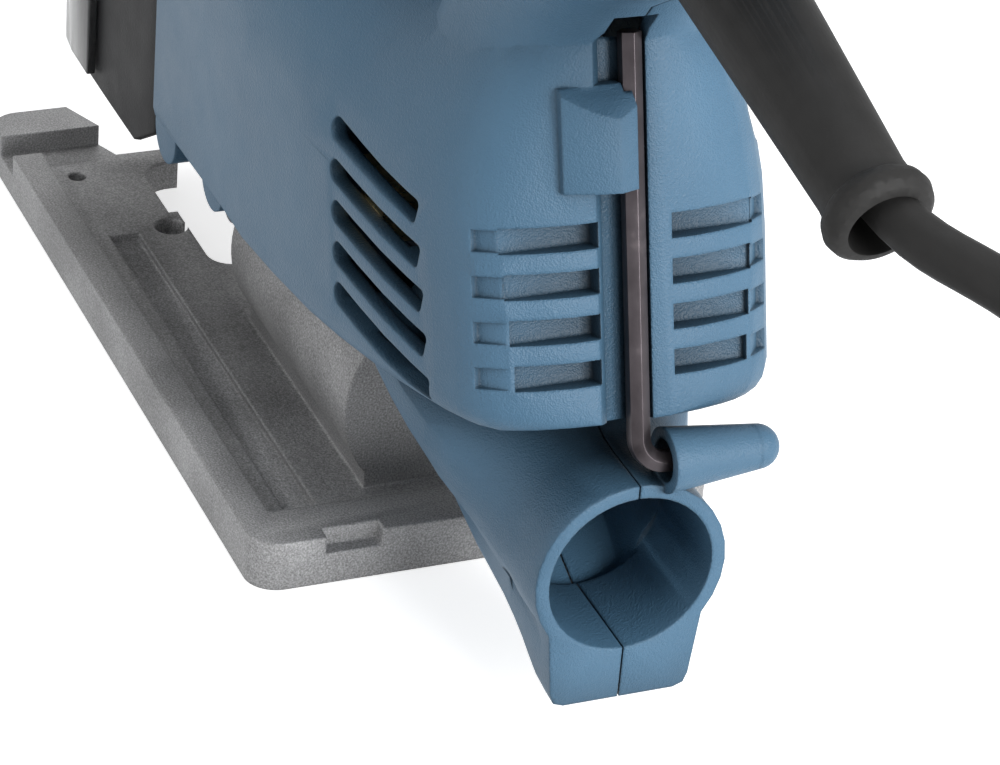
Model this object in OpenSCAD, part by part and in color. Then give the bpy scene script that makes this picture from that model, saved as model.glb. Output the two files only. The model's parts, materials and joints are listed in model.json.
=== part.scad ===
// Jigsaw with a D-handle: split plastic housing, tilting cast base, reciprocating plunger
// and a dust nozzle at the rear. Millimetres, +Z up, sole of the base at z = 0.
// X runs from the blade end (-X) to the cord end (+X); the left side of the tool is -Y.

/* [Base] */
// Length of the cast base
base_l = 147; // [135:1:165]
// Width of the cast base
base_w = 77; // [74:1:90]
// Height of the raised rim around the base
rim_h = 8.4; // [7:0.2:9.4]
// Width of the raised rim
rim_w = 5.2; // [4:0.2:7]
// Thickness of the base floor inside the rim
floor_h = 5.5; // [4:0.1:5.6]
// Half width of the opening for the blade
gap_w = 16.6; // [14:0.2:17.6]
// Height of the tilt axis above the sole
tilt_z = 20; // [19:0.5:21]
// Outer radius of the saddle tube
saddle_r = 19; // [18:0.5:20]
// Wall of the saddle tube
saddle_t = 3; // [2.5:0.1:3.5]
// Front end of the saddle tube
saddle_x0 = 3; // [0:1:8]
// Length of the saddle tube
saddle_l = 54.5; // [48:0.5:58]
// Steepest bevel to either side, in degrees
tilt_max = 45; // [30:1:45]

/* [Housing] */
// Wall of the plastic housing
wall = 2.4; // [1.8:0.1:3]
// Half width of the motor housing at its widest
motor_w = 31.5; // [30:0.5:36]
// Height of the motor axis
motor_z = 70; // [68:0.5:72]
// Top of the motor housing at the rear
motor_top = 99; // [96:0.5:104]
// Highest point of the handle
handle_top = 197; // [190:1:205]
// Rearmost point of the handle
handle_rear = 143.5; // [140:0.5:150]
// Half width of the grip
grip_w = 16; // [14:0.5:19]
// Lean of the rear face, in degrees
rear_lean = 16; // [8:1:20]
// Number of slots in each side grille
side_slots = 5; // [3:1:6]
// Number of slots in each half of the rear grille
rear_slots = 4; // [2:1:5]
// Distance between grille slots
slot_pitch = 6.3; // [5.5:0.1:7]
// Opening of a grille slot
slot_h = 3.7; // [2.5:0.1:4.2]

/* [Dust nozzle] */
// Radius of the nozzle bore
bore_r = 12.7; // [11:0.1:13.5]
// Depth of the straight bore
bore_l = 18; // [14:1:22]
// Wall of the nozzle
nozzle_t = 2.1; // [1.6:0.1:3]
// Height of the bore axis
bore_z = 28.6; // [26:0.2:30]
// Rear face of the nozzle
mouth_x = 123; // [118:0.5:128]

/* [Drive] */
// Teeth of the motor pinion
pinion_teeth = 8; // [7:1:9]
// Teeth of the crank gear
gear_teeth = 36; // [32:1:38]
// Tooth module of the gear pair
gear_module = 1; // [0.9:0.05:1.05]
// Stroke of the plunger
stroke = 18; // [10:1:20]
// Radius of the plunger rod
plunger_r = 4; // [3:0.25:5]
// Radius of the blade roller
roller_r = 6; // [5:0.25:7]

/* [Key, switch and cord] */
// Width across the flats of the hex key
key_af = 3; // [2.5:0.1:4]
// Length of the long arm of the hex key
key_l = 62; // [50:1:66]
// Travel of the trigger, in degrees
trigger_swing = 7; // [4:1:9]
// Diameter of the power cord
cord_d = 6.6; // [5.5:0.1:7.5]

/* [Hidden] */
$fn = 48;
seat = 0.3;
fit = 0.05;
base_front = -base_l / 2;
base_rear = base_l / 2;
mid_x = (base_front + handle_rear) / 2;
lean = tan(rear_lean);
lean_x0 = 118.6;
lean_z0 = 60;
key_x = lean_x0 - 0.7;
key_z = 46.4;
nose_x0 = -66;
nose_x1 = -12;
nose_z0 = 25;
nose_top = 112;
nose_w = 28.5;
shield_z0 = 31;
shield_z1 = 60;
shield_lift = 16;
plunger_x = -36;
plunger_z0 = 44;
plunger_z1 = 122;
gear_r = gear_module * gear_teeth / 2;
pinion_r = gear_module * pinion_teeth / 2;
gear_z = motor_z + gear_r + pinion_r;
crank_r = stroke / 2;
yoke_x = plunger_x + plunger_r + 6;
gear_x0 = yoke_x + 5;
gear_t = 7;
yoke_w = crank_r + 6;
yoke_h = 5;
case_w = 24;
case_t = 3;
case_x0 = plunger_x - plunger_r - case_t - 5;
case_x1 = 0;
case_z0 = 60;
case_top = gear_z + case_w;
bulkhead = 6;
bush_r = plunger_r + 2.5;
bush_top = case_top + 4;
holder_z0 = 38;
holder_z1 = case_z0 - crank_r - 0.6;
roller_x = plunger_x + 3 + roller_r;
roller_z = 21.6;
fork_x = -9;
fork_pin_r = 2;
fork_half = 4.3;
lug_y0 = 11.5;
lug_y1 = 15.2;
foot_r = saddle_r + seat;
foot_w = 15;
foot_top = 46.5;
bolt_x = saddle_x0 + saddle_l / 2;
bolt_r = 3;
shaft_r = 4;
bearing_r = 8;
stator_x = 49;
stator_l = 38;
stator_r = 21;
core_r = 16;
brush_x = stator_x + stator_l / 2 + 12;
rear_bearing_x = brush_x + 13;
rear_face_w = 21.5;
channel_w = 4.5;
opening_x1 = -13;
loop_z0 = 108;
loop_h = handle_top - 31 - loop_z0;
neck_h = handle_top - 26 - nose_top;

// Smooth step from 0 to 1 between a and b
function ease(x, a, b) = let(t = max(0, min(1, (x - a) / (b - a)))) t * t * (3 - 2 * t);
// All the points of a list of rings in one list
function flat(v) = [for (ring = v) each ring];
// Catmull-Rom point between b and c
function knot(a, b, c, d,
    t) = 0.5 * (2 * b + (c - a) * t + (2 * a - 5 * b + 4 * c - d) * t * t + (3 * b - a - 3 * c + d) * t * t * t);
// Smooth course through the rows of a table, n steps a row
function course(v, n) = [for (i = [0:len(v) - 2], j = [0:n - 1]) knot(v[max(i - 1, 0)], v[i], v[i + 1],
    v[min(i + 2, len(v) - 1)], j / n), v[len(v) - 1]];

// Solid skin over a list of rings with as many points each
module loft(rings) {
    n = len(rings[0]);
    m = len(rings);
    polyhedron(
        points = flat(rings),
        faces = concat(
            [[for (i = [n - 1:-1:0]) i]],
            [[for (i = [0:n - 1]) (m - 1) * n + i]],
            [for (k = [0:m - 2], i = [0:n - 1]) [k * n + i, (k + 1) * n + (i + 1) % n, (k + 1) * n + i]],
            [for (k = [0:m - 2], i = [0:n - 1]) [k * n + i, k * n + (i + 1) % n, (k + 1) * n + (i + 1) % n]]
        ),
        convexity = 8
    );
}

// Places a node about the middle of the tool's length
module placed() {
    translate([-mid_x, 0, 0]) children();
}

// Cylinder along X from x0 to x1
module rod_x(x0, x1, r, y = 0, z = 0) {
    translate([x0, y, z]) rotate([0, 90, 0]) cylinder(r = r, h = x1 - x0);
}

// Cylinder along Y from y0 to y1
module rod_y(y0, y1, r, x = 0, z = 0) {
    translate([x, y0, z]) rotate([-90, 0, 0]) cylinder(r = r, h = y1 - y0);
}

// Box from its two corners
module block(a, b) {
    translate(a) cube(b - a);
}

// Outline in (x, z) made solid between y0 and y1
module slab_y(y0, y1) {
    translate([0, y1, 0]) rotate([90, 0, 0]) linear_extrude(height = y1 - y0) children();
}

// Outline in (y, z) made solid between x0 and x1
module slab_x(x0, x1) {
    translate([x0, 0, 0]) rotate([90, 0, 90]) linear_extrude(height = x1 - x0) children();
}

// Frame of the leaning rear face: x outward, z up along the face
module on_rear(x, z) {
    translate([x - lean * (z - lean_z0), 0, z]) rotate([0, -rear_lean, 0]) children();
}

// ---- Housing sections -------------------------------------------------------------------

// Half width of the motor housing at station s
function body_w(s) = motor_w - lookup(s, [[-12, 3.2], [10, 1.8], [40, 0], [64, 0.5], [80, 1.8], [92, 3.3],
    [103, 5.3], [110, 7.6], [114.5, 10.4], [117, 15], [118.6, 22]]);
// Lower edge of the motor housing at station s
function body_z0(s) = lookup(s, [[-12, 35.6], [20, 39.6], [50, 42], [73, 45], [94, 48.3], [112, 50.6],
    [118.6, 53]]);
// Upper edge of the motor housing at station s
function body_z1(s) = motor_top + lookup(s, [[-12, 24], [4, 20], [20, 13], [36, 8], [56, 3.5], [74, 1.5],
    [86, 3], [98, 8], [110, 13], [118.6, 13]]);
// Half section of the motor housing, drawn in by t
function body_ring(s, t) =
    let(
        w = max(body_w(s) - t, 1),
        z0 = body_z0(s) + t,
        z1 = body_z1(s) - t,
        zs = motor_z + 3,
        k = lean * ease(s, 20, 96),
        r = min(5, w / 2),
        yz = concat(
            [[0, z0]],
            [for (a = [0:22.5:90]) [w - r + r * sin(a), z0 + 0.8 * r * (1 - cos(a))]],
            [[w, (z0 + zs) / 2]],
            [for (a = [0:10:80]) [w * pow(cos(a), 0.94), zs + (z1 - zs) * pow(sin(a), 0.94)]],
            [[0, z1]]
        )
    )
    [for (p = yz) [s - k * (p[1] - lean_z0), -p[0], p[1]]];
body_s = [nose_x1, -2, 10, 26, 40, 52, 64, 74, 84, 92, 99, 105, 109.5, 113, 115.6, 117.4, 118.6];

// Centre line of the handle: x, z, half thickness, half width
grip_path = [
    [85, 86, 19, 20], [88.5, 98, 17, 19], [91.5, loop_z0, 14.5, 17.6],
        [101, loop_z0 + 15 / 58 * loop_h, 14.5, 16.8],
    [handle_rear - 18.4, loop_z0 + 36 / 58 * loop_h, 16.8, grip_w],
    [handle_rear - 22.8, handle_top - 31, 16.8, grip_w], [handle_rear - 54, handle_top - 18.6, 16, grip_w],
        [40, handle_top - 16.2, 15.6, grip_w],
    [0, handle_top - 17.4, 17, grip_w + 0.4], [-26, handle_top - 26, 18.5, grip_w + 1.4],
    [-37, nose_top + 36 / 59 * neck_h, 19.5, grip_w + 3], [-39, nose_top + 17 / 59 * neck_h, 22.5,
        grip_w + 6.5], [-38, nose_top, 26, nose_w - 2], [-38, nose_top - 8, 26, nose_w - 2]
];
grip_rows = course(grip_path, 2);
// Half section of the handle at row i, drawn in by t
function grip_ring(i, t) =
    let(
        p = grip_rows[i],
        q = grip_rows[min(i + 1, len(grip_rows) - 1)] - grip_rows[max(i - 1, 0)],
        l = norm([q[0], q[1]]),
        nx = q[1] / l,
        nz = -q[0] / l,
        h = p[2] - t,
        w = p[3] - t
    )
    [for (a = [0:15:180]) let(c = cos(a), d = h * sign(c) * pow(abs(c), 0.8)) [p[0] + nx * d,
        -w * pow(sin(a), 0.75), p[1] + nz * d]];

// Half section of the dust duct at x: foot half width, foot height, top radius, axis height, flare to the housing
duct_rows = course([
    [base_rear + 1, 13, 25, 15.4, 41, 11], [82, 12.6, 21.5, 15.6, 37.5, 9.5], [94, 12, 17, 15.4, 33.8, 7.5],
        [103, 11, 13.6, 15, 30.8, 2.8],
    [110, 10.7, 10.6, 14.8, bore_z + 0.3, 0.5], [116, 10.8, 8, bore_r + nozzle_t, bore_z, 0],
        [mouth_x, 10.9, 7.3, bore_r + nozzle_t, bore_z, 0]
], 2);
function duct_ring(p, t) =
    let(
        r = p[3] - t,
        w = p[1] - t,
        z0 = p[2] + t,
        yz = concat(
            [[0, z0], [w - 2.2, z0], [w - 0.6, z0 + 0.6], [w, z0 + 2.2]],
            [for (a = [-36:12:84]) [(r + p[5] * max(0, min(1, (a + 40) / 62))) * cos(a), p[4] + r * sin(a)]],
            [[0, p[4] + r]]
        )
    )
    [for (q = yz) [p[0], -q[0], q[1]]];

// ---- Housing halves ---------------------------------------------------------------------

cord_pitch = 18;
cord_yaw = 3;
guard_root = [handle_rear - 16.5, 0, loop_z0 + 21 / 58 * loop_h];
guard_l = 51.5;
guard_r0 = 8;
guard_r1 = 6.1;
flange_r = 7.5;
bead_r = 2.4;
trigger_x = 34;
trigger_z = handle_top - 28.5;
trigger_w = 12;
pivot_r = 1.5;
lock_x = -8;
lock_z = handle_top - 22;
lock_r = 5.5;
lock_push = 3;
switch_x0 = 0;
switch_x1 = 30;
switch_z0 = handle_top - 20;
switch_z1 = handle_top - 8;
switch_w = 7.5;
screw_xz = [[17, 101], [82, 50.5], [100, 88], [104, 47.5], [handle_rear - 21.5, loop_z0 + 0.76 * loop_h],
    [54, handle_top - 16], [-27, handle_top - 27], [-44, nose_top + 0.458 * neck_h]];
head_y = [17, 17, 12, 8, 9, 9, 9, 12];
boss_r = 5;
screw_r = 1.9;
head_r = 3.6;
head_t = 2.4;
seam = 0.1;
tube_r0 = 4.85;
tube_r1 = 3.3;
tube_l = 14.5;
tube_y = 3.8;
key_r = key_af / 2 / cos(30);
clip_z0 = 40.5;
clip_z1 = 54;

// Places a child on the axis of the cord guard, pointing out along it
module on_guard() {
    translate(guard_root) rotate([0, 0, cord_yaw]) rotate([0, 90 + cord_pitch, 0]) children();
}

// Outline of the gear case across the tool, in (y, z), grown by t
module case_outline(t) {
    translate([0, gear_z]) circle(r = case_w + t);
    translate([-case_w - t, case_z0 - t]) square([2 * (case_w + t), gear_z - case_z0 + t]);
}

// Section of the nose at height z, drawn in by t; it runs into the handle at the top
function nose_ring(z, t) =
    let(
        k = ease(z, nose_top - 34, nose_top),
        h = 30 + k * (26 - 30) - t,
        w = nose_w - 2 * k - t,
        f = 0.42 + k * 0.36
    )
    [for (a = [350:-10:0]) let(e = cos(a) > 0 ? 0.2 : f) [-36 - 2 * k + h * sign(cos(a)) * pow(abs(cos(a)),
        e), w * sign(sin(a)) * pow(abs(sin(a)), f), z]];

// Outside of one half before it is hollowed
module half_outside() {
    loft([for (s = body_s) body_ring(s, 0)]);
    loft([for (i = [0:len(grip_rows) - 1]) grip_ring(i, 0)]);
    loft([for (p = duct_rows) duct_ring(p, 0)]);
    for (b = [[nose_x1 + 5.5, 37.5], [17, 41]]) rod_y(-nose_w + 0.6, -nose_w + 9, 5.2, b[0], b[1]);
}

// Hollow of one half: motor space, handle and the way from the duct
module half_inside() {
    loft([for (s = body_s) if (s < 117) body_ring(s == nose_x1 ? s - 1 : s > 112 ? s - wall + 0.6 : s, wall)]);
    loft([for (i = [3:len(grip_rows) - 4]) grip_ring(i, wall)]);
    loft([for (p = duct_rows) if (p[0] < mouth_x - bore_l + 4) duct_ring([p[0] - 1, p[1], p[2], p[3], p[4],
        p[5]], wall)]);
}

// What stands inside a half: screw bosses, stator rings, rear bearing web, switch and pivot posts
module half_ribs() {
    for (b = screw_xz) rod_y(-45, -seam, boss_r, b[0], b[1]);
    difference() {
        for (x = [stator_x - stator_l / 2 - 6, stator_x + stator_l / 2 - 6]) block([x, -45, 30],
            [x + 4, 0, 120]);
        rod_x(0, 90, stator_r + fit, 0, motor_z);
    }
    difference() {
        union() {
            rod_x(rear_bearing_x, rear_bearing_x + 5, bearing_r + 3, 0, motor_z);
            block([rear_bearing_x, -45, motor_z - 1.5], [rear_bearing_x + 5, 0, motor_z + 1.5]);
            block([rear_bearing_x, -3, motor_z - 18], [rear_bearing_x + 5, 0, motor_z]);
        }
        rod_x(rear_bearing_x - 1, rear_bearing_x + 6, bearing_r + fit, 0, motor_z);
    }
    rod_y(-30, -trigger_w / 2 - seat, pivot_r + 2, trigger_x, trigger_z);
    for (x = [switch_x0 + 3, switch_x1 - 5]) block([x, -30, switch_z0 + 1],
        [x + 2, -switch_w - seat, switch_z1 - 1]);
    translate(guard_root) block([-23, -30, -17], [-15, 0, -11]);
    for (i = [0:rear_slots - 1]) on_rear(lean_x0, 79.3 - i * slot_pitch)
        block([-wall - 1.8, 1.5 - rear_face_w, -slot_h / 2 - 1.4], [0.6 - wall, -channel_w - 1, -slot_h / 2]);
}

// Slots of one side grille
module side_grille() {
    for (i = [0:side_slots - 1]) {
        l = 24.5 + 0.6 * i;
        translate([71.5 + i * 1.5, 0, 78.6 - i * slot_pitch * 0.95]) rotate([0, 4, 0]) {
            block([1.6, -45, -slot_h / 2], [l, -18, slot_h / 2]);
            block([l - 1, -45, 0.9 - slot_h / 2], [l + 0.9, -18, slot_h / 2 - 0.9]);
            rod_y(-45, -18, slot_h / 2, 1.6);
            for (z = [-1, 1]) rod_y(-45, -18, 0.9, l, z * (slot_h / 2 - 0.9));
        }
    }
}

// Slots of the left half of the rear grille, slanting into the body, with scooped outer ends
module rear_grille() {
    for (i = [0:rear_slots - 1]) {
        z = 79.3 - i * slot_pitch;
        y = -rear_face_w + 2.2 + 0.5 * i;
        on_rear(lean_x0, z) {
            block([-wall - 1.4, y, -slot_h / 2], [6, -channel_w - 1, slot_h / 2]);
            translate([-6.6, -21.4, 0]) rotate([0, 0, 36]) block([0, -5, 0.3 - slot_h / 2],
                [7, 0, slot_h / 2 - 0.3]);
        }
    }
}

// Channel down the rear face that the hex key lies in
module key_channel() {
    on_rear(key_x, key_z) {
        block([-key_r - seat, -channel_w, 5.5], [14, key_r + seat, key_l + 3]);
        translate([0.7, -channel_w, 0]) rotate([0, 0, 45]) block([-1, -1, 5.5], [1, 1, key_l + 3]);
    }
}

// One half of the clamshell, drawn on the left side
module half_shell() {
    difference() {
        half_outside();
        difference() {
            half_inside();
            half_ribs();
        }
        rod_x(mouth_x - bore_l, mouth_x + 1, bore_r, 0, bore_z);
        rear_grille();
        side_grille();
        slab_x(nose_x0, case_x1 + seat) case_outline(seat);
        block([nose_x0 - 5, -45, 0], [nose_x1, 1, nose_top]);
        block([saddle_x0, -foot_w - seat, 20], [saddle_x0 + saddle_l + 4, 1, foot_top + seat]);
        block([nose_x1 - 1, -lug_y1 - seat, 20], [saddle_x0 + 1, 1, case_z0]);
        translate([plunger_x, 0, case_top - 12]) cylinder(r = bush_r + 2.5 + seat,
            h = bush_top - case_top + 12 + seat);
        translate([plunger_x, 0, case_top]) cylinder(r = plunger_r + 1,
            h = plunger_z1 + crank_r + 1 - case_top);
        on_guard() translate([0, 0, -26]) cylinder(r = cord_d / 2 + fit, h = 50);
        on_guard() translate([0, 0, -10]) cylinder(r = guard_r0 - 1, h = 50);
        on_guard() cylinder(r = guard_r0, h = 50);
        block([-8.7, -trigger_w / 2 - seat, trigger_z - 28], [trigger_x + 4, 1, trigger_z + 4]);
        rod_y(-trigger_w / 2 - 4, 1, pivot_r + fit, trigger_x, trigger_z);
    }
}

// Left half of the housing, with the hook that holds the hex key
module housing_left() {
    color([0.22, 0.42, 0.52]) placed() {
        difference() {
            half_shell();
            for (b = screw_xz) rod_y(-9, 1, screw_r + fit, b[0], b[1]);
            rod_y(-40, 0, lock_r + fit, lock_x, lock_z);
            key_channel();
            duct_pocket();
        }
        key_hook();
    }
}

// Shallow oblong pocket in the side of the duct
module duct_pocket() {
    rod_y(-20, 1 - bore_r, 3.4, 111.5, 21);
    rod_y(-20, 1 - bore_r, 3.4, 116.5, 16.5);
    translate([111.5, 0, 21]) rotate([0, 42, 0]) block([0, -20, -3.4], [6.7, 1 - bore_r, 3.4]);
}

// Hook over the hex key
module key_hook() {
    x = key_r - 0.21;
    y = -key_af / 2 - 0.2;
    on_rear(key_x, key_z) difference() {
        translate([0, 0, clip_z0]) linear_extrude(clip_z1 - clip_z0 + 1)
            polygon([[-2.5, -11], [1.4, -11], [2.9, -8.5], [4, -6], [4.7, -3.6], [3.3, -0.5], [x, -0.5],
                [x, y], [-2.5, y]]);
        translate([0.7, 0, clip_z1 + 0.8]) rotate([0, 45, 0]) block([-4, -12, 0], [12, 2, 8]);
    }
}

// Right half of the housing, with the screw heads' wells and the tube for the key's short arm
module housing_right() {
    color([0.24, 0.45, 0.55]) placed() difference() {
        union() {
            mirror([0, 1, 0]) half_shell();
            translate([key_x + lean * (lean_z0 - key_z), tube_y, key_z]) rotate([-90, 0, 0]) {
                cylinder(r1 = tube_r0, r2 = tube_r1, h = tube_l);
                translate([0, 0, tube_l]) sphere(r = tube_r1);
            }
        }
        translate([key_x + lean * (lean_z0 - key_z), tube_y - 1, key_z]) rotate([-90, 0, 0])
            cylinder(r = 3.2, h = tube_l + 0.5);
        key_channel();
        for (i = [0:len(screw_xz) - 1]) {
            b = screw_xz[i];
            rod_y(-1, head_y[i] + 1, screw_r + fit, b[0], b[1]);
            rod_y(head_y[i], 45, head_r + 0.2, b[0], b[1]);
        }
    }
}

// Screws that hold the halves together
module housing_screws() {
    color([0.3, 0.3, 0.32]) placed() for (i = [0:len(screw_xz) - 1]) {
        b = screw_xz[i];
        difference() {
            union() {
                rod_y(-8.5, head_y[i] + 0.5, screw_r, b[0], b[1]);
                rod_y(head_y[i], head_y[i] + head_t, head_r, b[0], b[1]);
            }
            rod_y(head_y[i] + head_t - 1.4, head_y[i] + head_t + 1, 1.4, b[0], b[1]);
        }
    }
}

// Black cover around the front of the gear case
module nose_cover() {
    color([0.08, 0.08, 0.09]) placed() difference() {
        loft([for (z = [nose_z0, nose_top - 34, nose_top - 27, nose_top - 20, nose_top - 13, nose_top - 6,
            nose_top - seam]) nose_ring(z, 0)]);
        loft([for (z = [nose_z0 - 1, nose_top - 34, nose_top - 27, nose_top - 20, nose_top - 13,
            nose_top - wall]) nose_ring(z, wall)]);
        block([nose_x1 - wall - 1, -nose_w + wall, nose_z0 - 1], [nose_x1 + 1, nose_w - wall, nose_top - wall]);
        block([nose_x1 - seam, -60, 0], [nose_x1 + 20, 60, nose_top + 1]);
        translate([nose_x1 - 17, 0, nose_z0 - 1]) rotate([0, -32, 0]) block([0, -60, -20], [40, 60, 0]);
        for (s = [-1, 1]) translate([nose_x0 - 1, s * nose_w, nose_z0 - 1.4]) rotate([45, 0, 0]) block([0,
            -3.9, -3.9], [80, 3.9, 3.9]);
        translate([plunger_x, 0, nose_top - wall - 1]) cylinder(r = bush_r + 2.5 + seat, h = wall + 2);
        slab_x(case_x0 - seat, 10) case_outline(seat);
    }
}

// Cast case for the gears, with the shoe that sits on the saddle of the base
module gear_housing() {
    foot_x0 = saddle_x0 + 1;
    foot_x1 = saddle_x0 + saddle_l - 2;
    color([0.62, 0.63, 0.64]) placed() difference() {
        union() {
            slab_x(case_x0, case_x1) case_outline(0);
            translate([plunger_x, 0, case_top - 12]) cylinder(r = bush_r + 2.5, h = bush_top - case_top + 12);
            block([foot_x0, -foot_w, tilt_z + 9], [foot_x1, foot_w, foot_top]);
            block([-5, -foot_w, foot_top - 4], [foot_x0 + 6, foot_w, foot_top]);
            for (s = [-1, 1]) {
                y0 = s < 0 ? -lug_y1 : lug_y0;
                block([fork_x - 3.6, y0, roller_z], [fork_x + 3.6, y0 + lug_y1 - lug_y0, case_z0 + 1]);
                rod_y(y0, y0 + lug_y1 - lug_y0, 3.6, fork_x, roller_z);
            }
            block([-5, -foot_w, foot_top - 4], [case_x1, foot_w, case_z0 + 1]);
        }
        slab_x(case_x0 + case_t, case_x1 - bulkhead) case_outline(-case_t);
        rod_x(saddle_x0 - 1, saddle_x0 + saddle_l + 20, foot_r, 0, tilt_z);
        rod_x(case_x1 - bulkhead - 1, case_x1 + 1, bearing_r + fit, 0, motor_z);
        rod_x(case_x1 - bulkhead - 1, case_x1 - 1.5, shaft_r + fit, 0, gear_z);
        translate([plunger_x, 0, case_z0 - 1]) cylinder(r = bush_r + fit, h = 80);
        translate([bolt_x, 0, tilt_z]) cylinder(r = bolt_r + fit, h = foot_top - tilt_z - 1.2);
        rod_y(-20, 20, fork_pin_r + fit, fork_x, roller_z);
    }
}

// Upper and lower guide bushes of the plunger
module plunger_bushes() {
    color([0.72, 0.55, 0.3]) placed() for (z = [[case_z0, 12],
        [bush_top - 11, 11]]) translate([plunger_x, 0, z[0]]) difference() {
        cylinder(r = bush_r, h = z[1]);
        translate([0, 0, -1]) cylinder(r = plunger_r + fit, h = z[1] + 2);
    }
}

// Fixed pin that the crank gear turns on
module gear_shaft() {
    color([0.75, 0.75, 0.77]) placed() rod_x(gear_x0, case_x1 - 1.6, shaft_r, 0, gear_z);
}

// Plan of the base, with the opening for the blade
module base_plan() {
    c = 5;
    difference() {
        union() {
            translate([base_front + c, -base_w / 2]) square([base_l - 2 * c, base_w]);
            translate([base_front, -base_w / 2 + c]) square([base_l, base_w - 2 * c]);
            for (x = [base_front + c, base_rear - c], s = [-1, 1]) translate([x, s * (base_w / 2 - c)])
                circle(r = c);
        }
        polygon([[base_front - 1, -24.4], [base_front + 13, -18.5], [base_front + 13, 18.5],
            [base_front - 1, 24.4]]);
        translate([base_front + 12, -9]) square([10, 18]);
        blade_opening();
    }
}

// Outline of the opening for the blade
module blade_opening() {
    x0 = base_front + 19.5;
    for (s = [-1, 1]) {
        translate([x0 + 6, s * (gap_w - 6)]) circle(r = 6);
        translate([opening_x1 - 7, s * (gap_w - 6)]) circle(r = 4.4);
    }
    translate([x0 + 6, -gap_w]) square([12, 2 * gap_w]);
    translate([x0, -gap_w + 6]) square([12, 2 * gap_w - 12]);
    translate([x0 + 6, -gap_w + 1.6]) square([opening_x1 - 7 - x0 - 6, 2 * gap_w - 3.2]);
    translate([x0 + 6, -gap_w + 6]) square([opening_x1 - 2.6 - x0 - 6, 2 * gap_w - 12]);
}

// Cast base: sole plate with its rim and grooves, and the saddle tube that the body tilts on
module base() {
    tube_r = saddle_r - saddle_t;
    color([0.7, 0.7, 0.7]) placed() difference() {
        union() {
            linear_extrude(height = rim_h) base_plan();
            rod_x(saddle_x0, saddle_x0 + saddle_l, saddle_r, 0, tilt_z);
        }
        difference() {
            translate([0, 0, floor_h]) linear_extrude(height = 10) intersection() {
                base_plan();
                translate([base_front + 16, -base_w / 2 + rim_w]) square([base_l - 16 - rim_w - 4,
                    base_w - 2 * rim_w]);
            }
            rod_x(saddle_x0, saddle_x0 + saddle_l, saddle_r, 0, tilt_z);
            block([saddle_x0, -15, 0], [saddle_x0 + saddle_l, 15, tilt_z]);
        }
        for (s = [-1, 1]) {
            block([-30, s * 26.6 - 2.6, floor_h - 1], [base_rear - 12, s * 26.6 + 2.6, 20]);
            for (x = [base_front + 21, base_rear - 11]) translate([x, s * 28.2, -1]) cylinder(r = 1.6, h = 12);
            block([base_rear - 2.6, s * 22.5 - 4.6, rim_h - 3], [base_rear + 1, s * 22.5 + 4.6, 20]);
            translate([-31, s * (gap_w + 1.2), 2.5]) cylinder(r = 2.9, h = 20);
        }
        block([base_front + 8.5, -50, 4.6], [base_front + 16, 50, 20]);
        rod_x(saddle_x0 - 1, saddle_x0 + saddle_l - saddle_t, tube_r, 0, tilt_z);
        block([saddle_x0 + 4, -11, -1], [saddle_x0 + saddle_l - 16, 11, tilt_z]);
        saddle_slot();
    }
}

// Cross-shaped slot over the top of the saddle for the bolt
module saddle_slot() {
    a = tilt_max + 12;
    w = bolt_r + seat;
    intersection() {
        block([bolt_x - w, -saddle_r - 1, tilt_z], [bolt_x + w, saddle_r + 1, tilt_z + saddle_r + 2]);
        slab_x(bolt_x - w, bolt_x + w) polygon(concat([[0, tilt_z]],
            [for (t = [-a:6:a]) [30 * sin(t), tilt_z + 30 * cos(t)]]));
    }
    block([bolt_x - 14, -w, tilt_z], [bolt_x + 14, w, tilt_z + saddle_r + 2]);
}

// Socket screw that clamps the base under the shoe
module tilt_bolt() {
    z = tilt_z + saddle_r - saddle_t - seat - 3;
    color([0.35, 0.35, 0.37]) placed() difference() {
        union() {
            translate([bolt_x, 0, z - 0.5]) cylinder(r = bolt_r, h = foot_top - z - 1);
            translate([bolt_x, 0, z - 5.5]) cylinder(r = 4.8, h = 5.5);
        }
        translate([bolt_x, 0, z - 6]) cylinder(r = 2.3, h = 3.5, $fn = 6);
    }
}

// Curved washer under the saddle tube
module clamp_plate() {
    color([0.66, 0.67, 0.69]) placed() difference() {
        intersection() {
            rod_x(bolt_x - 11, bolt_x + 11, saddle_r - saddle_t - seat, 0, tilt_z);
            block([bolt_x - 12, -8, tilt_z + saddle_r - saddle_t - 3 - seat], [bolt_x + 12, 8, tilt_z + 30]);
        }
        translate([bolt_x, 0, tilt_z]) cylinder(r = bolt_r + fit, h = 30);
    }
}

// Fork that carries the blade roller
module roller_fork() {
    color([0.72, 0.73, 0.75]) placed() difference() {
        union() {
            for (s = [-1, 1]) {
                y0 = s < 0 ? -fork_half : fork_half - 1.5;
                block([roller_x, y0, roller_z - 3], [fork_x, y0 + 1.5, roller_z + 3]);
                rod_y(y0, y0 + 1.5, 3, roller_x, roller_z);
                rod_y(y0, y0 + 1.5, 3.6, fork_x, roller_z);
            }
            rod_y(-lug_y0 + seat, lug_y0 - seat, 3.2, fork_x, roller_z);
            rod_y(-fork_half, fork_half, pivot_r, roller_x, roller_z);
        }
        rod_y(-20, 20, fork_pin_r + fit, fork_x, roller_z);
    }
}

// Pin through the lugs of the gear case and the fork
module fork_pin() {
    color([0.8, 0.8, 0.82]) placed() difference() {
        rod_y(-lug_y1 - 0.6, lug_y1 + 0.6, fork_pin_r, fork_x, roller_z);
        rod_y(-lug_y1 - 1, lug_y1 + 1, 0.9, fork_x, roller_z);
    }
}

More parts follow.
